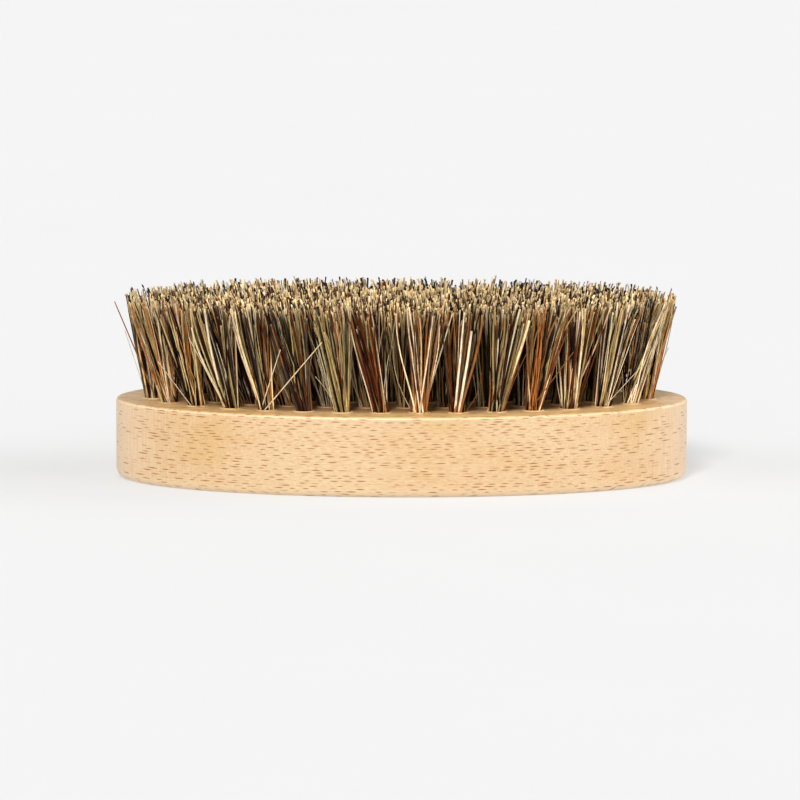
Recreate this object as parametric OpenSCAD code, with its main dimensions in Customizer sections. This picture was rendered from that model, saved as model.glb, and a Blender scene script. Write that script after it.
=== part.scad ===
// Oval beard brush: a beech block drilled with leaning blind bores, and a tuft of natural bristle in
// each bore, folded round a flat metal anchor that bites into the wood beside it.
// +X runs along the block, +Y across it and +Z up through the bristles. The origin is the centre of
// the block's flat underside, which the brush stands on.

/* [Block] */
// Length of the oval block, along X
block_length = 86; // [84:0.5:92]
// Width of the oval block, along Y
block_width = 47; // [45:0.5:52]
// Thickness of the block
block_height = 12; // [10:0.5:15]
// Radius of the rounded edge round the top face
top_edge_radius = 0.5; // [0.3:0.1:1]
// Radius of the rounded edge round the underside
bottom_edge_radius = 1.5; // [1:0.1:2]

/* [Bores] */
// Diameter of the blind bore that holds a tuft
bore_d = 2.7; // [2.5:0.05:2.9]
// Depth of a bore along its own axis, without the drill point
bore_depth = 6.5; // [5:0.5:7.5]
// Length of the cone that the drill leaves at the bottom of a bore
drill_point = 0.8; // [0.3:0.1:1]
// Distance from the block's rim to the outer ring of bores
rim_margin = 5.9; // [5:0.1:6]
// Distance between one ring of bores and the next
ring_pitch = 6; // [5.8:0.1:6.2]

/* [Rings of tufts] */
// Shift of the whole pattern of tufts along X
pattern_shift = -0.3; // [-0.5:0.1:0.5]
// Number of tufts in the outer ring
outer_count = 31; // [24:1:31]
// Distance along the outer ring from the block's left end to its first tuft
outer_start = 1.5; // [0:0.1:3]
// Number of tufts in the middle ring
middle_count = 24; // [18:1:24]
// Distance along the middle ring from the block's left end to its first tuft
middle_start = 1; // [0.8:0.1:1.2]
// Number of tufts in the inner ring
inner_count = 18; // [14:2:18]
// Distance along the inner ring from the block's left end to its first tuft
inner_start = 1; // [0.8:0.1:1.2]
// Number of tufts in the row along the middle of the block
centre_count = 7; // [3:2:7]
// Distance between the tufts of the centre row
centre_pitch = 5.5; // [5.2:0.1:5.6]

/* [Bristles] */
// Height of the trimmed bristles above the block
bristle_height = 16; // [10:0.5:18]
// Diameter of a tuft at the trimmed tips
tip_d = 4.8; // [4:0.1:4.9]
// Gap between a tuft's root and the wall of its bore
root_gap = 0.05; // [0.03:0.01:0.08]
// Greatest angle, in degrees, that a tuft leans outward along X
lean_x = 13; // [10:0.5:13]
// Distance along X over which most of that lean builds up
lean_reach = 16; // [10:1:18]
// Place along X from which the tufts lean apart
upright_x = 4; // [0:0.5:5]
// Degrees that a tuft leans outward along Y for each millimetre from the middle of the block
lean_y = 0.44; // [0.3:0.01:0.5]

/* [Anchors] */
// Length of an anchor, across the grain of the block
anchor_length = 3.4; // [3:0.1:3.8]
// Width of the flat wire, along the bore
anchor_width = 1.6; // [1:0.1:2]
// Thickness of the flat wire
anchor_thickness = 0.4; // [0.3:0.05:0.5]
// Thickness of the bristle folded under an anchor
fold_height = 1; // [0.8:0.1:1.2]

/* [Hidden] */
$fn = 64;
total_height = block_height + bristle_height;
root_d = bore_d - 2 * root_gap;
// The root's end is bevelled, so that it sits above the drill point
fold_bevel = 0.5;
// A tuft stays straight until it is clear of its bore's slanting mouth
straight_neck = 0.4;
// Length that is cut away again when the tips are trimmed level
trim_allowance = 4;
// Length of a cutter above the face that it cuts
overcut = 2;
// Step of angle, in degrees, in which a ring's length is measured
arc_step = 1;

outer_axes = [block_length, block_width] / 2 - [rim_margin, rim_margin];
middle_axes = outer_axes - [ring_pitch, ring_pitch];
inner_axes = middle_axes - [ring_pitch, ring_pitch];
outer_places = ring_places(outer_axes, outer_count, outer_start);
middle_places = ring_places(middle_axes, middle_count, middle_start);
inner_places = ring_places(inner_axes, inner_count, inner_start);
centre_places = [
    for (i = [0 : centre_count - 1])
        [pattern_shift + (i - (centre_count - 1) / 2) * centre_pitch, 0]
];
all_places = concat(outer_places, middle_places, inner_places, centre_places);

// Name of one tuft's node, numbered from the left end along the front of its ring
function tuft_name(ring, i) = str("tuft_", ring, "_", i < 10 ? "0" : "", i);

// Point of a ring at an angle counted from the left end, with the front of the block first
function ring_point(axes, angle) = [pattern_shift - axes.x * cos(angle), -axes.y * sin(angle)];

// Pairs of length along a ring and angle, in small steps right round it
function ring_table(axes) = [
    for (
        angle = 0, run = 0;
        angle <= 360;
        run = run + norm(ring_point(axes, angle + arc_step) - ring_point(axes, angle)),
        angle = angle + arc_step
    )
        [run, angle]
];

// Places that divide a ring into equal lengths
function ring_places(axes, count, start) =
    let (table = ring_table(axes), perimeter = table[len(table) - 1][0])
    [
        for (i = [0 : count - 1])
            ring_point(axes, lookup((start + i * perimeter / count) % perimeter, table))
    ];

// Angle, in degrees, that a tuft at x leans to the right
function x_lean(x) = sign(x - upright_x) * lean_x * (1 - exp(-abs(x - upright_x) / lean_reach));

// Puts its children on the top face at a tuft's place, with +Z along the leaning tuft
module at_tuft(place) {
    translate([place.x, place.y, block_height])
        rotate([-lean_y * place.y, x_lean(place.x), 0])
            children();
}

// Oval slab with square edges, planed flat above and below
module slab() {
    intersection() {
        translate([0, 0, -overcut])
            linear_extrude(block_height + 2 * overcut)
                scale([1, block_width / block_length])
                    circle(block_length / 2);
        translate([-block_length, -block_width, 0])
            cube([2 * block_length, 2 * block_width, block_height]);
    }
}

// Ring that rounds the lower edge of the slab
module edge_cutter(radius) {
    rim = block_length / 2 - radius;
    scale([1, block_width / block_length, 1])
        rotate_extrude()
            difference() {
                translate([rim, -overcut]) square(radius + overcut);
                translate([rim, radius]) circle(radius);
            }
}

// Blind bore with its mouth at the origin, open upwards
module bore() {
    radius = bore_d / 2;
    rotate_extrude()
        polygon([
            [0, -bore_depth - drill_point],
            [radius, -bore_depth],
            [radius, overcut],
            [0, overcut]
        ]);
}

// Piece of flat wire, set near the bottom of a bore with its mouth at the origin
module anchor() {
    translate([-anchor_thickness / 2, -anchor_length / 2, fold_height - bore_depth])
        cube([anchor_thickness, anchor_length, anchor_width]);
}

// Bristles as drawn into a bore, before they are trimmed
module untrimmed_tuft() {
    root = root_d / 2;
    widening = (tip_d / 2 - root) / (bristle_height - straight_neck);
    top = bristle_height + trim_allowance;
    rotate_extrude()
        polygon([
            [0, -bore_depth],
            [root - fold_bevel, -bore_depth],
            [root, fold_bevel - bore_depth],
            [root, straight_neck],
            [root + widening * (top - straight_neck), top],
            [0, top]
        ]);
}

// Everything above the level that the bristles are trimmed to
module trimmer() {
    translate([-block_length, -block_width, total_height])
        cube([2 * block_length, 2 * block_width, 2 * trim_allowance]);
}

module block() {
    color("#edc893")
        difference() {
            slab();
            edge_cutter(bottom_edge_radius);
            translate([0, 0, block_height])
                mirror([0, 0, 1])
                    edge_cutter(top_edge_radius);
            for (place = all_places)
                at_tuft(place) {
                    bore();
                    anchor();
                }
        }
}

module anchors() {
    color("silver")
        for (place = all_places)
            at_tuft(place) anchor();
}

module tuft(place) {
    color("#9c8258")
        difference() {
            at_tuft(place) untrimmed_tuft();
            at_tuft(place) anchor();
            trimmer();
        }
}

block();
anchors();
for (i = [1 : outer_count])
    tuft(outer_places[i - 1]);
for (i = [1 : middle_count])
    tuft(middle_places[i - 1]);
union() {  // tufts_inner_left
    for (place = inner_places)
        if (place.x < 0) tuft(place);
}
union() {  // tufts_inner_right
    for (place = inner_places)
        if (place.x >= 0) tuft(place);
}
union() {  // tufts_centre_row
    for (place = centre_places)
        tuft(place);
}
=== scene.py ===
"""The looks of an oval beard brush: a beech block and its tufts of folded natural bristle."""

import math

import bmesh
import bpy
import numpy as np
from mathutils import Matrix, Vector


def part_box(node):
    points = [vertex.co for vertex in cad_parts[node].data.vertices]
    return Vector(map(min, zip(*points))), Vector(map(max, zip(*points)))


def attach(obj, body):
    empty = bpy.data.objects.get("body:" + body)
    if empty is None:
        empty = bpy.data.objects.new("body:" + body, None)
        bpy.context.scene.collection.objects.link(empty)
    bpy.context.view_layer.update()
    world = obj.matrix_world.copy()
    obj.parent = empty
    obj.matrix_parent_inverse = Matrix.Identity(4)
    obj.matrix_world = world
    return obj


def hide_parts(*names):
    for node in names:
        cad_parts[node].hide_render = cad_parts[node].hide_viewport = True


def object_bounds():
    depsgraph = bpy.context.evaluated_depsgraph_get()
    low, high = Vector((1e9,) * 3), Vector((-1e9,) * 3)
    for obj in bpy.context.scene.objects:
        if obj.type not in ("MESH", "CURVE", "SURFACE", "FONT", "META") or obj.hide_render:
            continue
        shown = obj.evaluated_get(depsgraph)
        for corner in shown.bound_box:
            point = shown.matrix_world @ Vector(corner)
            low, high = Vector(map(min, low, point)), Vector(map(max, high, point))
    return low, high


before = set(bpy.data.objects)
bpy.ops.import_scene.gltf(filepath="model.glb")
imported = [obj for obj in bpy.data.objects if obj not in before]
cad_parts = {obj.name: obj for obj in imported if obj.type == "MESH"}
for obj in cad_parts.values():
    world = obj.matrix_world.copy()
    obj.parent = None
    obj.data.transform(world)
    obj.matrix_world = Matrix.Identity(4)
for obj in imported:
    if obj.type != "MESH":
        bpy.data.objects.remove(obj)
cad_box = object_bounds()

MM = 0.001
BODY = "root"

# Sizes in millimetres, along a tuft's own axis where they are heights
TOP_EDGE_RADIUS = 0.5
BOTTOM_EDGE_RADIUS = 1.5
BORE_RADIUS = 1.35
BORE_DEPTH = 6.5
DRILL_POINT = 0.8
ANCHOR_TOP = -3.9
ANCHOR_FOOT = -5.5
FOLD_ROOM = 0.6

# Sides of a bristle, of the finer hairs at its split end, and of a bore and its burr
SIDES = 6
FLAG_SIDES = 4
BORE_SIDES = 32

# Length of the bore cutter above the block, and radius and height of each ring of a burr
OVERCUT = 1
BURR = [(0, -0.3), (1.74, -0.3), (1.70, 0.02), (1.60, 0.10), (1.48, 0.14), (0, 0.14)]

# How far the strands at a tuft's rim reach from its axis at the tips, and how close to the wall of the
# bore they start
TIP_REACH = 3.3
ROOT_MARGIN = 0.18

# Spreads of the random draws for one strand: its bow on the way up, the place of its tip, and its turn
# about the tuft's axis in radians, small for most strands and large for the rest
BOW = 0.45
TIP_JITTER = 0.6
SMALL_TURN = 0.5
LARGE_TURN = 1.8
SMALL_TURN_CHANCE = 0.65

# Spreads of the random draws for one tuft: its turn about its axis in radians, and its shift at the tips
TWIST = 0.6
SWAY = 0.4

# Wear of the tips: its mean and spread, how many strands are worn shorter still or stand proud, and the
# least and most by which they do
WEAR = (0.7, 0.4)
SHORT_CHANCE = 0.28
SHORT_BY = (0.3, 3.0)
PROUD_CHANCE = 0.02
PROUD_BY = (0.3, 0.8)

# Radius of a strand: its mean, its spread and the least and most that it may be
STRAND_RADIUS = (0.12, 0.038)
RADIUS_LIMITS = (0.06, 0.21)

# How much a strand narrows towards its split end and towards its blunt one
SPLIT_TAPER = 0.45
BLUNT_TAPER = 0.12

# How much commoner its favoured tones are in a tuft
FAVOUR = 2.5

# Where a strand's rings stand, as shares of its length above the block: closer together near the tip
LEG_SHARES = np.array([0, 0.13, 0.27, 0.42, 0.57, 0.71, 0.83, 0.91, 0.96, 1])

# Strands in a tuft, the painted shade that darkens them along their length, as the share of their colour
# that shows at each share of it, and how pale their tips are, in the outer ring and inside it
PAINTED_SHADE_SHARES = (0, 0.3, 0.6, 0.85, 1)
OUTER_RING = {"strands": 70, "shade": (1, 0.98, 0.95, 0.76, 0.70), "paleness": 0.45}
INNER_RINGS = {"strands": 96, "shade": (0.50, 0.51, 0.53, 0.68, 0.92), "paleness": 1.0}

block_low, block_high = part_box("block")
TOP = block_high.z
TRIM_LEVEL = cad_box[1][2]

# Colours of single bristles, as display colours, with how common each one is
BRISTLE_TONES = [
    ((1.00, 0.90, 0.75), 0.11),
    ((0.85, 0.72, 0.50), 0.14),
    ((0.66, 0.57, 0.38), 0.15),
    ((0.67, 0.42, 0.21), 0.13),
    ((0.38, 0.19, 0.08), 0.12),
    ((0.28, 0.24, 0.20), 0.06),
    ((0.15, 0.06, 0.02), 0.13),
    ((0.05, 0.02, 0.01), 0.16),
]
PALE_TONES = 4

# Tones that stand out in some tufts along the front of the outer ring, by the tuft's number
FAVOURED_TONES = {
    1: [1],
    2: [0, 2],
    3: [3],
    7: [0, 2],
    8: [4, 6],
    9: [0, 3],
    10: [3],
    12: [3, 5],
    13: [0, 4],
    14: [0, 1],
    15: [0, 1],
    16: [0, 1],
    17: [0, 1],
}
TIP_TONE = (0.93, 0.82, 0.61)
STRAY_TONE = (0.90, 0.82, 0.66)
GINGER_TONE = (0.56, 0.36, 0.18)
# The dark tone of the bristles in the gaps beside the end tufts is painted shade
SHADED_GAP_BRISTLE_TONE = (0.16, 0.08, 0.04)

# Loose bristles: where each leaves the block's top face, its tip, its radius and its colour. Most cross
# their neighbours, and the dark ones are bristles that fill the gaps beside the end tufts, dark as painted
# shade
STRAYS = [
    ((-20.4, -16.0), (-11.8, -21.6, 22.9), 0.10, STRAY_TONE),
    ((-20.9, -15.8), (-17.9, -20.6, 21.7), 0.09, STRAY_TONE),
    ((-36.9, -2.7), (-43.0, -5.0, 27.0), 0.12, GINGER_TONE),
    ((-38.3, -1.1), (-41.6, -3.0, 22.5), 0.07, STRAY_TONE),
    ((3.2, -17.2), (7.4, -20.9, 27.0), 0.13, STRAY_TONE),
    ((-31.3, -11.1), (-36.2, -13.5, 19.0), 0.07, STRAY_TONE),
    ((-26.1, -13.9), (-31.5, -17.5, 23.1), 0.08, STRAY_TONE),
    ((18.9, -15.9), (25.3, -20.5, 21.4), 0.09, GINGER_TONE),
    ((30.1, -11.4), (35.9, -15.0, 19.0), 0.06, STRAY_TONE),
    ((-33.9, -6.3), (-33.8, -7.0, 26.0), 0.16, SHADED_GAP_BRISTLE_TONE),
    ((-33.6, -6.9), (-33.2, -7.4, 24.0), 0.16, SHADED_GAP_BRISTLE_TONE),
    ((33.2, -6.3), (33.1, -7.0, 26.0), 0.16, SHADED_GAP_BRISTLE_TONE),
    ((33.4, -5.8), (33.7, -6.3, 25.0), 0.16, SHADED_GAP_BRISTLE_TONE),
]

# Distance along X from the middle of the block past which the bristles are drawn in, and how much of
# what lies past it is taken away
BRISTLE_EDGE = 40.6
DRAWN_IN = 0.75

# Place along X from which the tufts lean apart, how far the tufts beside it hang back over it, and the
# distance over which that fades
PARTING = 4.0
HANG_BACK = 0.8
HANG_FADE = 4.0

# Seeds of the tufts: the first one, and the room left for the tufts of one node
FIRST_SEED = 1000
SEEDS_PER_NODE = 20


def linear(colour):
    """A display colour as the linear one that Blender works in."""
    return tuple(c / 12.92 if c <= 0.04045 else ((c + 0.055) / 1.055) ** 2.4 for c in colour)


# Node materials ------------------------------------------------------------------------------------


class Nodes:
    """A new material's node tree, with short ways to add and join nodes."""

    def __init__(self, name):
        self.material = bpy.data.materials.new(name)
        self.material.use_nodes = True
        self.tree = self.material.node_tree
        self.tree.nodes.clear()
        self.output = self.tree.nodes.new("ShaderNodeOutputMaterial")

    def add(self, kind, settings=None, **inputs):
        """A node of that kind, with its properties in settings and its inputs as values or sockets."""
        node = self.tree.nodes.new(kind)
        for key, value in (settings or {}).items():
            setattr(node, key, value)
        for key, value in inputs.items():
            self.join(value, node.inputs[key.replace("_", " ")])
        return node

    def join(self, value, socket):
        if isinstance(value, bpy.types.NodeSocket):
            self.tree.links.new(value, socket)
        else:
            socket.default_value = value

    def math(self, operation, a, b=0.0):
        node = self.tree.nodes.new("ShaderNodeMath")
        node.operation = operation
        self.join(a, node.inputs[0])
        self.join(b, node.inputs[1])
        return node.outputs[0]

    def stretched(self, scale):
        """Object coordinates multiplied by scale, given per millimetre along x, y and z."""
        place = self.add("ShaderNodeTexCoord").outputs["Object"]
        return self.add("ShaderNodeMapping", Vector=place, Scale=[s / MM for s in scale]).outputs[0]

    def noise(self, scale, detail=3.0, roughness=0.5, distortion=0.0):
        """Noise from 0 to 1 whose features are about 1/scale millimetres long along each axis."""
        return self.add(
            "ShaderNodeTexNoise",
            Vector=self.stretched(scale),
            Scale=1.0,
            Detail=detail,
            Roughness=roughness,
            Distortion=distortion,
        ).outputs["Fac"]

    def band(self, value, low, high, to_low=0.0, to_high=1.0):
        """value brought from the range low to high into the range to_low to to_high, and held there."""
        node = self.tree.nodes.new("ShaderNodeMapRange")
        node.interpolation_type = "SMOOTHSTEP"
        for socket, given in zip(node.inputs, (value, low, high, to_low, to_high)):
            self.join(given, socket)
        return node.outputs[0]

    def mix(self, factor, a, b, blend="MIX"):
        node = self.tree.nodes.new("ShaderNodeMix")
        node.data_type = "RGBA"
        node.blend_type = blend
        self.join(factor, node.inputs["Factor"])
        self.join((*a, 1.0) if isinstance(a, tuple) else a, node.inputs["A"])
        self.join((*b, 1.0) if isinstance(b, tuple) else b, node.inputs["B"])
        return next(o for o in node.outputs if o.type == "RGBA")

    def finish(self, shader):
        self.tree.links.new(shader.outputs[0], self.output.inputs["Surface"])
        return self.material


def beech():
    """Steamed beech, sanded and oiled thin, with its short brown ray flecks along the grain."""
    n = Nodes("beech_wood")
    honey = linear((0.81, 0.70, 0.54))
    peach = linear((0.80, 0.67, 0.50))
    golden = linear((0.78, 0.64, 0.42))
    late = linear((0.72, 0.55, 0.37))
    pale = linear((0.86, 0.76, 0.64))
    painted_light_tone = linear((0.95, 0.84, 0.68))
    tan = linear((0.89, 0.72, 0.47))
    brown = linear((0.64, 0.42, 0.20))
    painted_shade_umber = linear((0.46, 0.25, 0.11))
    fleck_brown = linear((0.59, 0.36, 0.10))

    patches = n.noise((0.05, 0.10, 0.14), detail=2.0)
    colour = n.mix(n.band(patches, 0.35, 0.62), honey, peach)
    colour = n.mix(n.band(patches, 0.55, 0.75), colour, golden)

    fibre = n.noise((0.30, 5.0, 5.0), detail=5.0, roughness=0.62)
    colour = n.mix(n.math("MULTIPLY", n.band(fibre, 0.42, 0.72), 0.5), colour, late)
    mottle = n.noise((1.2, 3.0, 3.0), detail=4.0, roughness=0.7)
    colour = n.mix(n.math("MULTIPLY", n.band(mottle, 0.5, 0.8), 0.4), colour, pale)
    grit = n.noise((1.0, 7.0, 7.0), detail=3.0, roughness=0.7)
    colour = n.mix(n.math("MULTIPLY", n.band(grit, 0.50, 0.68), 0.35), colour, late)
    colour = n.mix(n.math("MULTIPLY", n.band(grit, 0.50, 0.32), 0.45), colour, pale)

    # The rays are cut across on the block's sides and seen along their length on its top and underside
    normal = n.add("ShaderNodeNewGeometry").outputs["Normal"]
    facing = n.add("ShaderNodeSeparateXYZ", Vector=normal)
    upward = facing.outputs["Z"]
    level = n.band(n.math("ABSOLUTE", upward), 0.4, 0.9)
    # The rounded top edge, where a highlight is painted
    painted_edge_highlight = n.math("MULTIPLY", n.band(upward, 0.2, 0.45), n.band(upward, 0.9, 0.65))
    at_end = n.band(n.math("ABSOLUTE", facing.outputs["X"]), 0.35, 0.9)
    upright = n.band(n.noise((4.0, 4.0, 0.2), detail=3.0), 0.45, 0.60)
    on_side = ray_flecks(n, "X", "Z", (2.0, 0.40), 0.85)
    faint = ray_flecks(n, "X", "Z", (2.4, 0.29), 0.7)
    on_end = ray_flecks(n, "Y", "Z", (2.2, 0.45), 0.6)
    on_top = ray_flecks(n, "X", "Y", (2.2, 0.60), 0.8)
    flecks = n.mix(level, n.mix(n.band(at_end, 0.85, 1.0), on_side, on_end), on_top)
    both = n.add("ShaderNodeSeparateColor", Color=flecks).outputs["Red"]
    colour = n.mix(n.math("MULTIPLY", n.math("MULTIPLY", at_end, upright), 0.6), colour, late)
    colour = n.mix(n.math("MULTIPLY", faint, 0.35), colour, late)
    colour = n.mix(n.math("MULTIPLY", level, 0.65), colour, tan)
    grain = n.noise((0.10, 2.6, 2.6), detail=4.0, roughness=0.6)
    streaks = n.math("MULTIPLY", level, n.band(grain, 0.51, 0.62))
    colour = n.mix(n.math("MULTIPLY", streaks, 0.75), colour, brown)
    # Painted shade: the level faces are darkened over the oval among the tufts
    colour = n.mix(n.math("MULTIPLY", n.math("MULTIPLY", level, painted_shade_among_tufts(n)), 0.6), colour, painted_shade_umber)
    place = n.add("ShaderNodeSeparateXYZ", Vector=n.stretched((1, 1, 1)))
    from_middle = n.math("ABSOLUTE", place.outputs["X"])
    # Painted light: the wood is made paler towards both ends of the block
    colour = n.mix(n.band(from_middle, 34.0, 43.5, 0.0, 0.6), colour, pale)
    # Painted light: the wood is paler over its lowest 1.7 mm, where the rounded foot faces down into shade
    colour = n.mix(n.band(place.outputs["Z"], 0.1, 1.7, 0.75, 0.0), colour, painted_light_tone)
    # Painted highlight: a paler line along the rounded top edge
    colour = n.mix(n.math("MULTIPLY", painted_edge_highlight, 0.45), colour, painted_light_tone)
    colour = n.mix(n.math("MULTIPLY", both, 0.95), colour, fleck_brown)

    pores = n.noise((1.2, 14.0, 14.0), detail=2.0)
    relief = n.math("SUBTRACT", n.math("MULTIPLY", pores, 0.6), n.math("MULTIPLY", both, 0.35))
    bump = n.add("ShaderNodeBump", Strength=0.25, Distance=0.00006, Height=relief)
    shader = n.add(
        "ShaderNodeBsdfPrincipled",
        Base_Color=colour,
        Roughness=n.band(fibre, 0.2, 0.8, 0.38, 0.55),
        Coat_Weight=0.2,
        Coat_Roughness=0.25,
        Normal=bump.outputs[0],
    )
    return n.finish(shader)


def painted_shade_among_tufts(n):
    """1 on the wood between the tufts, where shade is painted in, and 0 on the rim outside them."""
    place = n.add("ShaderNodeSeparateXYZ", Vector=n.stretched((1 / 36.0, 1 / 17.0, 1.0)))
    from_middle = n.math(
        "ADD",
        n.math("MULTIPLY", place.outputs["X"], place.outputs["X"]),
        n.math("MULTIPLY", place.outputs["Y"], place.outputs["Y"]),
    )
    return n.band(from_middle, 0.8, 1.15, 1.0, 0.0)


def ray_flecks(n, along, across, pitch, share):
    """Staggered rows of short spindle-shaped strokes in one plane, of which only a share are shown.

    along and across name the plane's two axes, and pitch is the room for one stroke on each.
    """
    place = n.add("ShaderNodeSeparateXYZ", Vector=n.stretched((1.0, 1.0, 1.0)))
    drift = n.math("MULTIPLY", n.noise((0.05, 0.05, 0.25), detail=1.0), 0.3)
    row = n.math("DIVIDE", n.math("ADD", place.outputs[across], drift), pitch[1])
    row_number = n.math("FLOOR", row)
    stagger = n.add("ShaderNodeTexWhiteNoise", {"noise_dimensions": "1D"}, W=row_number).outputs["Value"]
    offset = n.math("MULTIPLY", stagger, 7.0)
    column = n.math("ADD", n.math("DIVIDE", place.outputs[along], pitch[0]), offset)
    cell = n.add("ShaderNodeCombineXYZ", X=n.math("FLOOR", column), Y=row_number)
    chance = n.add("ShaderNodeTexWhiteNoise", {"noise_dimensions": "2D"}, Vector=cell.outputs[0])
    size, shift, shade = n.add("ShaderNodeSeparateColor", Color=chance.outputs["Color"]).outputs
    half_length = n.band(size, 0.0, 1.0, 0.24, 0.49)
    half_height = n.band(size, 0.0, 1.0, 0.22, 0.33)
    u = n.math("SUBTRACT", n.math("FRACT", column), 0.5)
    v = n.math("SUBTRACT", n.math("FRACT", row), n.band(shift, 0.0, 1.0, 0.40, 0.60))
    distance = n.math(
        "ADD",
        n.math("POWER", n.math("DIVIDE", n.math("ABSOLUTE", u), half_length), 2.0),
        n.math("DIVIDE", n.math("ABSOLUTE", v), half_height),
    )
    spot = n.band(distance, 0.40, 0.95, 1.0, 0.0)
    return n.math("MULTIPLY", n.band(shade, 1.0 - share, 1.7 - share), spot)


def bristle():
    """Natural bristle: glossy hair that takes each strand's own colour and painted shade, streaked along
    its length.
    """
    n = Nodes("natural_bristle")
    tint_and_painted_shade = n.add("ShaderNodeAttribute", {"attribute_name": "tint_and_painted_shade"}).outputs["Color"]
    streak = n.noise((3.0, 3.0, 0.35), detail=3.0)
    darker = n.mix(1.0, tint_and_painted_shade, (0.55, 0.50, 0.45), "MULTIPLY")
    colour = n.mix(n.band(streak, 0.42, 0.72), tint_and_painted_shade, darker)
    shader = n.add(
        "ShaderNodeBsdfPrincipled",
        Base_Color=colour,
        Roughness=n.band(streak, 0.2, 0.8, 0.30, 0.46),
        Specular_IOR_Level=0.12,
    )
    return n.finish(shader)


def anchor_wire():
    """Drawn flat steel wire, scratched along its length."""
    n = Nodes("anchor_wire")
    scratches = n.noise((14.0, 0.8, 14.0), detail=4.0)
    tarnish = n.noise((0.9, 0.9, 0.9), detail=3.0)
    colour = n.mix(n.band(tarnish, 0.4, 0.7), linear((0.80, 0.79, 0.77)), linear((0.66, 0.62, 0.55)))
    bump = n.add("ShaderNodeBump", Strength=0.2, Distance=0.00002, Height=scratches)
    shader = n.add(
        "ShaderNodeBsdfPrincipled",
        Base_Color=colour,
        Metallic=1.0,
        Roughness=n.band(scratches, 0.2, 0.8, 0.28, 0.5),
        Normal=bump.outputs[0],
    )
    return n.finish(shader)


def studio_floor():
    """Matt white paper on a table that is lit from below."""
    n = Nodes("studio_paper")
    mottle = n.noise((0.02, 0.02, 0.02), detail=2.0)
    colour = n.mix(mottle, (0.35, 0.35, 0.35), (0.36, 0.36, 0.36))
    shader = n.add(
        "ShaderNodeBsdfPrincipled",
        Base_Color=colour,
        Roughness=0.9,
        Specular_IOR_Level=0.1,
        Emission_Color=(1.0, 1.0, 1.0, 1.0),
        Emission_Strength=0.43,
    )
    return n.finish(shader)


# The tufts' places, measured on the CAD model --------------------------------------------------------


def solids_of(node):
    """The vertices of each separate solid in a CAD node, in metres, in order of place."""
    mesh = bmesh.new()
    mesh.from_mesh(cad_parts[node].data)
    bmesh.ops.remove_doubles(mesh, verts=mesh.verts, dist=0.001 * MM)
    seen, solids = set(), []
    for first in mesh.verts:
        if first in seen:
            continue
        seen.add(first)
        reached, found = [first], []
        while reached:
            vertex = reached.pop()
            found.append(tuple(vertex.co))
            for other in (edge.other_vert(vertex) for edge in vertex.link_edges):
                if other not in seen:
                    seen.add(other)
                    reached.append(other)
        solids.append(np.array(found))
    mesh.free()
    return sorted(solids, key=lambda points: tuple(points.mean(axis=0)))


def tuft_axis(points):
    """Where a tuft's axis leaves the block's top face, and the axis's direction, from its CAD solid."""
    trimmed = points[points[:, 2] > points[:, 2].max() - 0.01 * MM]
    top = (trimmed.min(axis=0) + trimmed.max(axis=0)) / 2
    reach = np.linalg.norm(points - top, axis=1)
    root = points[reach > reach.max() - 0.2 * MM].mean(axis=0)
    direction = Vector(top - root).normalized()
    mouth = Vector(root) + direction * ((TOP - root[2]) / direction.z)
    return mouth, direction


def tuft_frame(mouth, direction):
    """A tuft's own axes: z along the bristles and y across the block, as its anchor lies."""
    across = Vector((0, 1, 0)) - direction * direction.y
    across.normalize()
    along = across.cross(direction)
    turn = Matrix((along, across, direction)).transposed().to_4x4()
    return Matrix.Translation(mouth) @ turn


# Bristles ----------------------------------------------------------------------------------------------


class Strands:
    """Closed tubes gathered for one mesh, with a colour at each vertex."""

    def __init__(self):
        self.points, self.faces, self.colours = [], [], []
        self.count = 0

    def tube(self, centres, radii, colours, sides):
        """One tube through centres, with a radius and a colour at each of them."""
        along = np.gradient(centres, axis=0)
        along /= np.linalg.norm(along, axis=1)[:, None]
        reference = np.array([0.0, 1.0, 0.0])
        v = reference - along * (along @ reference)[:, None]
        v /= np.linalg.norm(v, axis=1)[:, None]
        u = np.cross(v, along)
        angles = 2 * np.pi * np.arange(sides) / sides
        rim = np.cos(angles)[None, :, None] * u[:, None] + np.sin(angles)[None, :, None] * v[:, None]
        self.points.append((centres[:, None] + radii[:, None, None] * rim).reshape(-1, 3))
        self.colours.append(np.repeat(colours, sides, axis=0))
        rings = len(centres)
        for ring in range(rings - 1):
            low = self.count + ring * sides
            for k in range(sides):
                after = (k + 1) % sides
                self.faces.append((low + k, low + after, low + sides + after, low + sides + k))
        self.faces.append(tuple(self.count + k for k in reversed(range(sides))))
        last = self.count + (rings - 1) * sides
        self.faces.append(tuple(last + k for k in range(sides)))
        self.count += rings * sides

    def mesh(self, name, matrix):
        """The tubes as a mesh, taken from a tuft's own millimetres through matrix."""
        points = np.concatenate(self.points) * MM
        turned = points @ np.array(matrix.to_3x3()).T + np.array(matrix.translation)
        mesh = bpy.data.meshes.new(name)
        mesh.from_pydata(turned.tolist(), [], self.faces)
        tint_and_painted_shade = mesh.attributes.new("tint_and_painted_shade", "FLOAT_COLOR", "POINT")
        colours = np.concatenate(self.colours)
        tint_and_painted_shade.data.foreach_set("color", np.c_[colours, np.ones(len(colours))].ravel())
        mesh.shade_smooth()
        return mesh


def spread_in_disc(count, radius, rng):
    """Points spread evenly over a disc, with a little disorder."""
    k = np.arange(count) + 0.5
    angle = k * math.pi * (3 - math.sqrt(5)) + rng.uniform(0, 2 * math.pi)
    distance = radius * np.sqrt(k / count)
    spots = np.c_[distance * np.cos(angle), distance * np.sin(angle)]
    return spots + rng.normal(0, 0.05, spots.shape)


def leg(base, tip, bow, top, rng):
    """The centres of a strand from the mouth of its bore to its tip."""
    share = LEG_SHARES[:, None]
    places = base + (tip - base) * share + bow * np.sin(math.pi * share) * share
    wave = rng.normal(0, 0.012, places.shape)
    wave[0] = 0
    return np.c_[places + wave, share * top]


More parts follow.
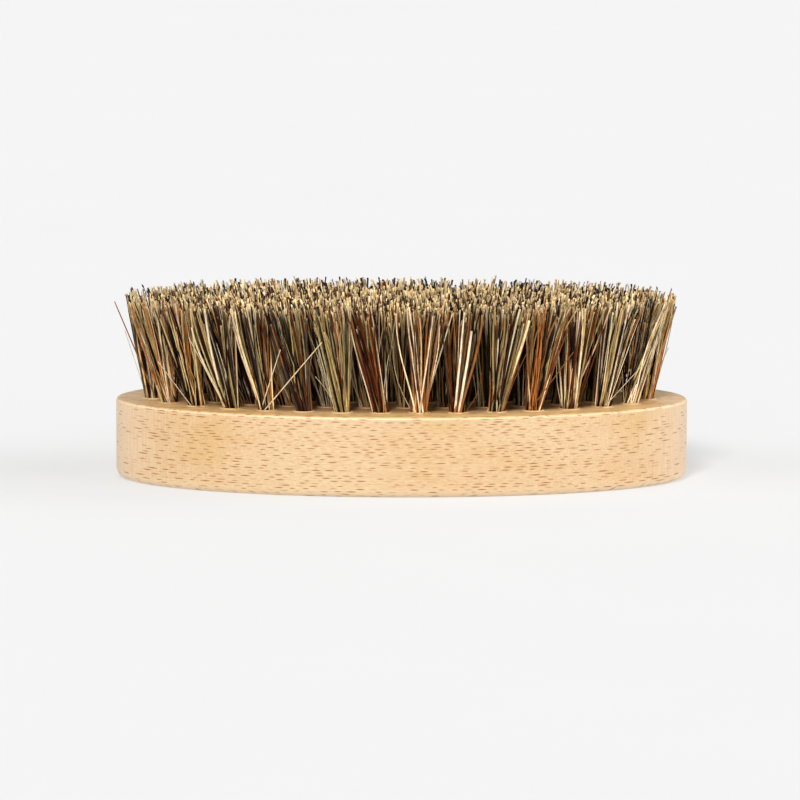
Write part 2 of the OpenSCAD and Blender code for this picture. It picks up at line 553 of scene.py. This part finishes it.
def fold(left, right):
    """The centres of a bristle inside its bore, down past the anchor, under it and up again."""
    narrow = 0.75
    gap = 0.3
    from_x = -gap + narrow * left[0]
    to_x = gap + narrow * right[0]
    turn = [math.radians(a) for a in (45, 90, 135)]
    middle, half = (from_x + to_x) / 2, (to_x - from_x) / 2
    sag = FOLD_ROOM * half
    down = [(from_x, left[1], ANCHOR_TOP), (from_x, left[1], ANCHOR_FOOT)]
    under = [
        (
            middle - half * math.cos(a),
            left[1] + (right[1] - left[1]) * (1 - math.cos(a)) / 2,
            ANCHOR_FOOT - sag * math.sin(a),
        )
        for a in turn
    ]
    up = [(to_x, right[1], ANCHOR_FOOT), (to_x, right[1], ANCHOR_TOP)]
    return np.array(down + under + up)


def tip_place(base, twist, sway, centre, rng):
    """Where a strand that leaves its bore at base ends, seen along the tuft.

    sway is the tuft's own shift, and centre is where its axis ends along the block.
    """
    distance = np.linalg.norm(base) + 1e-6
    reach = TIP_REACH * (distance / BORE_RADIUS) ** 0.8
    turn = twist + rng.normal(0, SMALL_TURN if rng.random() < SMALL_TURN_CHANCE else LARGE_TURN)
    cos, sin = math.cos(turn), math.sin(turn)
    outward = np.array([cos * base[0] - sin * base[1], sin * base[0] + cos * base[1]]) / distance
    tip = reach * outward + sway + rng.normal(0, TIP_JITTER, 2)
    beyond = abs(centre + tip[0]) - BRISTLE_EDGE
    if beyond > 0:
        tip[0] -= math.copysign(DRAWN_IN * beyond, centre)
    return tip


def strand_top(tip, matrix, rng):
    """Height along the tuft at which a strand meets the trimmed level, less its wear."""
    down = matrix.to_3x3().row[2]
    level = (TRIM_LEVEL - matrix.translation.z) / MM
    height = (level - down[0] * tip[0] - down[1] * tip[1]) / down[2]
    wear = abs(rng.normal(*WEAR))
    chance = rng.random()
    if chance < SHORT_CHANCE:
        wear += rng.uniform(*SHORT_BY)
    elif chance > 1 - PROUD_CHANCE:
        wear -= rng.uniform(*PROUD_BY)
    return height - wear


def tone(mixture, rng):
    """A strand's own colour, near one of the tones in the mixture, and that tone's number."""
    index = rng.choice(len(BRISTLE_TONES), p=mixture)
    colour = np.array(linear(BRISTLE_TONES[index][0]))
    warmth = np.array([1 + rng.normal(0, 0.06), 1, 0.97 + rng.normal(0, 0.07)])
    return colour * warmth * rng.lognormal(0, 0.2), index


def strand_colours(colour, shares, shade, pale, shine):
    """The colours along a strand: its own tone darkened by painted shade along its length, and a pale tip
    where it has one.
    """
    fading = 0.15 * np.clip((shares - 0.75) / 0.17, 0, 1) + 0.85 * np.clip((shares - 0.94) / 0.05, 0, 1)
    end = fading[:, None] * pale
    # Painted shade: the strand's colour is darkened along its length by the ring's shade profile
    shown = np.interp(shares, PAINTED_SHADE_SHARES, shade)[:, None]
    return colour * shown * (1 - end) + np.array(linear(TIP_TONE)) * end * shine


def add_flags(strands, centres, radius, colour, rng):
    """The split end of a strand: finer hairs that part from it near the tip."""
    foot, tip = centres[-2], centres[-1]
    start = foot + (tip - foot) * rng.uniform(0.1, 0.5)
    for _ in range(rng.integers(2, 4)):
        away = np.append(rng.normal(0, 0.14, 2), rng.uniform(-0.2, 0.15))
        end = tip + away
        middle = (start + end) / 2 + np.append(rng.normal(0, 0.05, 2), 0)
        path = np.array([start, middle, end])
        strands.tube(path, radius * np.array([0.5, 0.38, 0.2]), np.tile(colour, (3, 1)), FLAG_SIDES)


def add_strays(strands, matrix):
    """The loose bristles whose feet stand in this tuft."""
    inverse = matrix.inverted()
    share = LEG_SHARES[:, None]
    for foot, tip, radius, colour in STRAYS:
        foot, tip = (np.array(inverse @ (Vector(p) * MM)) / MM for p in ((*foot, TOP / MM), tip))
        if np.linalg.norm(foot) > 2.0:
            continue
        start = foot - 0.1 * (tip - foot)
        path = start + (tip - start) * share
        colours = np.tile(linear(colour), (len(share), 1))
        strands.tube(path, radius * (1 - 0.35 * LEG_SHARES), colours, SIDES)


def add_flyaways(strands, matrix, top, rng):
    """A few finer hairs that stand away from the tuft and cross the ones beside it."""
    share = LEG_SHARES[:, None]
    for _ in range(rng.integers(1, 4)):
        turn = rng.uniform(0, 2 * math.pi)
        outward = np.array([math.cos(turn), math.sin(turn)])
        length = top * rng.uniform(0.35, 0.95)
        reach = length * math.tan(math.radians(rng.uniform(8, 24)))
        bow = rng.normal(0, 0.5, 2)
        places = outward * (BORE_RADIUS - 0.25 + reach * share) + bow * np.sin(math.pi * share)
        path = np.c_[places, share * length]
        if abs((matrix @ Vector(path[-1] * MM)).x) > BRISTLE_EDGE * MM:
            continue
        colour = np.array(linear(STRAY_TONE if rng.random() < 0.6 else GINGER_TONE)) * rng.uniform(0.5, 1.0)
        radius = rng.uniform(0.05, 0.09)
        strands.tube(path, radius * (1 - 0.4 * LEG_SHARES), np.tile(colour, (len(share), 1)), SIDES)


def tuft_mesh(matrix, ring, favoured, seed):
    """A tuft: bristles folded in half round the anchor, each with one blunt end and one split end."""
    rng = np.random.default_rng(seed)
    strands = Strands()
    weights = np.array([share for _, share in BRISTLE_TONES]) * rng.lognormal(0, 0.2, len(BRISTLE_TONES))
    weights[favoured] *= FAVOUR
    mixture = weights / weights.sum()
    twist = rng.normal(0, TWIST)
    height = (TRIM_LEVEL - TOP) / MM
    centre = (matrix @ Vector((0, 0, height * MM))).x / MM
    # The tufts beside the parting hang back over it, so that no gap opens there
    beside = centre - PARTING
    hang = math.copysign(HANG_BACK * math.exp(-abs(beside) / HANG_FADE), beside)
    sway = rng.normal(0, SWAY, 2) - (hang, 0)
    bases = spread_in_disc(ring["strands"], BORE_RADIUS - ROOT_MARGIN, rng)
    bases = bases[np.argsort(bases[:, 0])]
    half = ring["strands"] // 2
    lefts, rights = bases[:half], bases[half:]
    lefts = lefts[np.argsort(lefts[:, 1])]
    rights = rights[np.argsort(rights[:, 1])]
    for left, right in zip(lefts, rights):
        colour, index = tone(mixture, rng)
        radius = np.clip(rng.normal(*STRAND_RADIUS), *RADIUS_LIMITS)
        legs = []
        for base in (left, right):
            tip = tip_place(base, twist, sway, centre, rng)
            bow = rng.normal(0, BOW, 2)
            legs.append(leg(base, tip, bow, strand_top(tip, matrix, rng), rng))
        inside = fold(left, right)
        centres = np.concatenate([legs[0][::-1], inside, legs[1]])
        flag_left = rng.random() < 0.5
        thin = 1 - SPLIT_TAPER * LEG_SHARES
        blunt = 1 - BLUNT_TAPER * LEG_SHARES
        first, last = (thin, blunt) if flag_left else (blunt, thin)
        radii = radius * np.concatenate([first[::-1], np.full(len(inside), 0.9), last])
        pale = rng.uniform(0.4, 1.0) if index < PALE_TONES or rng.random() < 0.28 else 0
        pale *= ring["paleness"]
        up = strand_colours(colour, LEG_SHARES, ring["shade"], pale, rng.uniform(0.4, 1.5))
        colours = np.concatenate([up[::-1], np.tile(up[0], (len(inside), 1)), up])
        strands.tube(centres, radii, colours, SIDES)
        flagged = legs[0] if flag_left else legs[1]
        add_flags(strands, flagged, radius, up[-1], rng)
    add_flyaways(strands, matrix, height, rng)
    return strands


def make_tufts(nodes, material):
    """One piece for each CAD node of tufts, in the CAD tufts' own places."""
    for number, node in enumerate(nodes):
        outer = node.startswith("tuft_outer_")
        ring = OUTER_RING if outer else INNER_RINGS
        favoured = FAVOURED_TONES.get(int(node[-2:]), []) if outer else []
        meshes = []
        for k, points in enumerate(solids_of(node)):
            matrix = tuft_frame(*tuft_axis(points))
            seed = FIRST_SEED + SEEDS_PER_NODE * number + k
            strands = tuft_mesh(matrix, ring, favoured, seed)
            add_strays(strands, matrix)
            meshes.append(strands.mesh(node, matrix))
        piece = joined("bristles_" + node, meshes)
        piece.data.materials.append(material)
        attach(piece, BODY)
        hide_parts(node)


def joined(name, meshes):
    """One object from several meshes."""
    objects = [bpy.data.objects.new(name, mesh) for mesh in meshes]
    for piece in objects:
        bpy.context.scene.collection.objects.link(piece)
    if len(objects) > 1:
        with bpy.context.temp_override(active_object=objects[0], selected_editable_objects=objects):
            bpy.ops.object.join()
    objects[0].name = name
    return objects[0]


# The block ---------------------------------------------------------------------------------------------


def lathe(profile, sides):
    """A closed mesh turned about z from (radius, height) pairs that start and end on the axis."""
    mesh = bmesh.new()
    rings = []
    for radius, height in profile:
        if radius == 0:
            rings.append([mesh.verts.new((0, 0, height))])
        else:
            turn = [2 * math.pi * k / sides for k in range(sides)]
            circle = [(radius * math.cos(a), radius * math.sin(a), height) for a in turn]
            rings.append([mesh.verts.new(point) for point in circle])
    for low, high in zip(rings, rings[1:]):
        for k in range(sides):
            after = (k + 1) % sides
            lower = [low[k % len(low)], low[after % len(low)]]
            upper = [high[after % len(high)], high[k % len(high)]]
            mesh.faces.new(list(dict.fromkeys(lower + upper)))
    return mesh


def as_object(mesh, name):
    """A bmesh as a linked object."""
    bmesh.ops.recalc_face_normals(mesh, faces=mesh.faces)
    data = bpy.data.meshes.new(name)
    mesh.to_mesh(data)
    mesh.free()
    made = bpy.data.objects.new(name, data)
    bpy.context.scene.collection.objects.link(made)
    return made


def oval_plate(name):
    """The block's oval plate with its edges rounded evenly all round."""
    half_length = (block_high.x - block_low.x) / 2
    half_width = (block_high.y - block_low.y) / 2
    steps = 10
    around = 288
    arcs = [math.radians(90 * k / steps) for k in range(steps + 1)]
    low, high = (
        [(r * MM * (1 - math.sin(a)), r * MM * (1 - math.cos(a))) for a in arcs]
        for r in (BOTTOM_EDGE_RADIUS, TOP_EDGE_RADIUS)
    )
    inset_height = low + [(inset, TOP - height) for inset, height in reversed(high)]
    mesh = bmesh.new()
    rings = []
    for inset, height in inset_height:
        ring = []
        for k in range(around):
            a = 2 * math.pi * k / around
            outward = Vector((math.cos(a) / half_length, math.sin(a) / half_width)).normalized()
            x = half_length * math.cos(a) - inset * outward.x
            y = half_width * math.sin(a) - inset * outward.y
            ring.append(mesh.verts.new((x, y, block_low.z + height)))
        rings.append(ring)
    for low, high in zip(rings, rings[1:]):
        for k in range(around):
            after = (k + 1) % around
            mesh.faces.new((low[k], low[after], high[after], high[k]))
    mesh.faces.new(rings[0][::-1])
    mesh.faces.new(rings[-1])
    return as_object(mesh, name)


def at_each(name, make, frames):
    """One object that holds a mesh made for each of the frames."""
    return joined(name, [in_place(make(), matrix) for matrix in frames])


def in_place(mesh, matrix):
    bmesh.ops.scale(mesh, vec=(MM, MM, MM), verts=mesh.verts)
    bmesh.ops.transform(mesh, matrix=matrix, verts=mesh.verts)
    bmesh.ops.recalc_face_normals(mesh, faces=mesh.faces)
    data = bpy.data.meshes.new("part")
    mesh.to_mesh(data)
    mesh.free()
    return data


def bore_cutter():
    """The room of one bore, with the cone that the drill leaves."""
    point = (0, -BORE_DEPTH - DRILL_POINT)
    wall = [(BORE_RADIUS, -BORE_DEPTH), (BORE_RADIUS, OVERCUT)]
    return lathe([point, *wall, (0, OVERCUT)], BORE_SIDES)


def lifted_fibre():
    """The low burr of wood that the drill leaves round a bore's mouth."""
    return lathe(BURR, BORE_SIDES)


def combine(target, other, operation):
    """Adds other to target or cuts it away, and removes it."""
    modifier = target.modifiers.new(operation, "BOOLEAN")
    modifier.operation = operation
    modifier.solver = "MANIFOLD"
    modifier.object = other
    apply_modifier(target, modifier)
    bpy.data.objects.remove(other)


def apply_modifier(piece, modifier):
    with bpy.context.temp_override(object=piece, active_object=piece):
        bpy.ops.object.modifier_apply(modifier=modifier.name)


def make_block(material, frames):
    """The beech block, drilled along each tuft's axis."""
    piece = oval_plate("beech_block")
    upright = [Matrix.Translation(matrix.translation) for matrix in frames]
    combine(piece, at_each("burrs", lifted_fibre, upright), "UNION")
    combine(piece, at_each("bores", bore_cutter, frames), "DIFFERENCE")
    piece.data.materials.clear()
    piece.data.materials.append(material)
    piece.data.shade_smooth()
    with bpy.context.temp_override(object=piece, active_object=piece, selected_editable_objects=[piece]):
        bpy.ops.object.shade_smooth_by_angle(angle=math.radians(35))
    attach(piece, BODY)
    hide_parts("block")


# The studio --------------------------------------------------------------------------------------------

# The camera: its distance in metres, the point it looks at in millimetres, how far it stands above the
# level and is turned in degrees, and its sensor and lens in millimetres
CAMERA_DISTANCE = 1.0
CAMERA_AIM = (-0.24, 0, 11.55)
CAMERA_RISE = 7.5
CAMERA_ROLL = 0.12
SENSOR_WIDTH = 36
LENS = 298.6


def make_camera():
    """A long lens in front of the brush, a little above it."""
    rise = math.radians(CAMERA_RISE)
    aim = Vector([c * MM for c in CAMERA_AIM])
    data = bpy.data.cameras.new("camera")
    data.sensor_width = SENSOR_WIDTH
    data.lens = LENS
    data.clip_start = 0.05
    camera = bpy.data.objects.new("camera", data)
    bpy.context.scene.collection.objects.link(camera)
    camera.location = aim + CAMERA_DISTANCE * Vector((0, -math.cos(rise), math.sin(rise)))
    roll = Matrix.Rotation(math.radians(CAMERA_ROLL), 3, "Z")
    turn = (aim - camera.location).to_track_quat("-Z", "Y").to_matrix()
    camera.rotation_euler = (turn @ roll).to_euler()
    bpy.context.scene.camera = camera


def make_floor():
    mesh = bmesh.new()
    bmesh.ops.create_grid(mesh, x_segments=8, y_segments=8, size=4.0)
    floor = as_object(mesh, "floor")
    floor.location.z = block_low.z
    floor.data.materials.append(studio_floor())


def soft_light(name, turn, rise, width, strength):
    """A distant soft box, width degrees wide.

    It stands turn degrees to the right of the camera's side and rise degrees up.
    """
    data = bpy.data.lights.new(name, "SUN")
    data.angle = math.radians(width)
    data.energy = strength
    light = bpy.data.objects.new(name, data)
    bpy.context.scene.collection.objects.link(light)
    turn, rise = math.radians(turn), math.radians(rise)
    towards = Vector((math.sin(turn) * math.cos(rise), -math.cos(turn) * math.cos(rise), math.sin(rise)))
    light.location = towards
    light.rotation_euler = towards.to_track_quat("Z", "Y").to_euler()


def make_lights():
    world = bpy.data.worlds.new("studio_air")
    bpy.context.scene.world = world
    world.use_nodes = True
    background = world.node_tree.nodes["Background"]
    background.inputs["Color"].default_value = (1, 1, 1, 1)
    background.inputs["Strength"].default_value = 0.185
    soft_light("key", -15, 42, 14, 2.45)
    soft_light("front", 0, 8, 50, 0.84)
    soft_light("left", -70, 30, 40, 0.95)
    soft_light("right", 60, 30, 40, 1.1)
    soft_light("rim", 95, 25, 30, 1.2)
    soft_light("back", 165, 50, 50, 0.47)


# The brush -----------------------------------------------------------------------------------------------

tuft_nodes = sorted(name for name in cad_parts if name.startswith("tuft"))
tuft_frames = [tuft_frame(*tuft_axis(points)) for node in tuft_nodes for points in solids_of(node)]

make_camera()
make_floor()
make_lights()
make_block(beech(), tuft_frames)
make_tufts(tuft_nodes, bristle())

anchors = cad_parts["anchors"]
anchors.data.materials.clear()
anchors.data.materials.append(anchor_wire())

bpy.context.scene.view_settings.view_transform = "Standard"
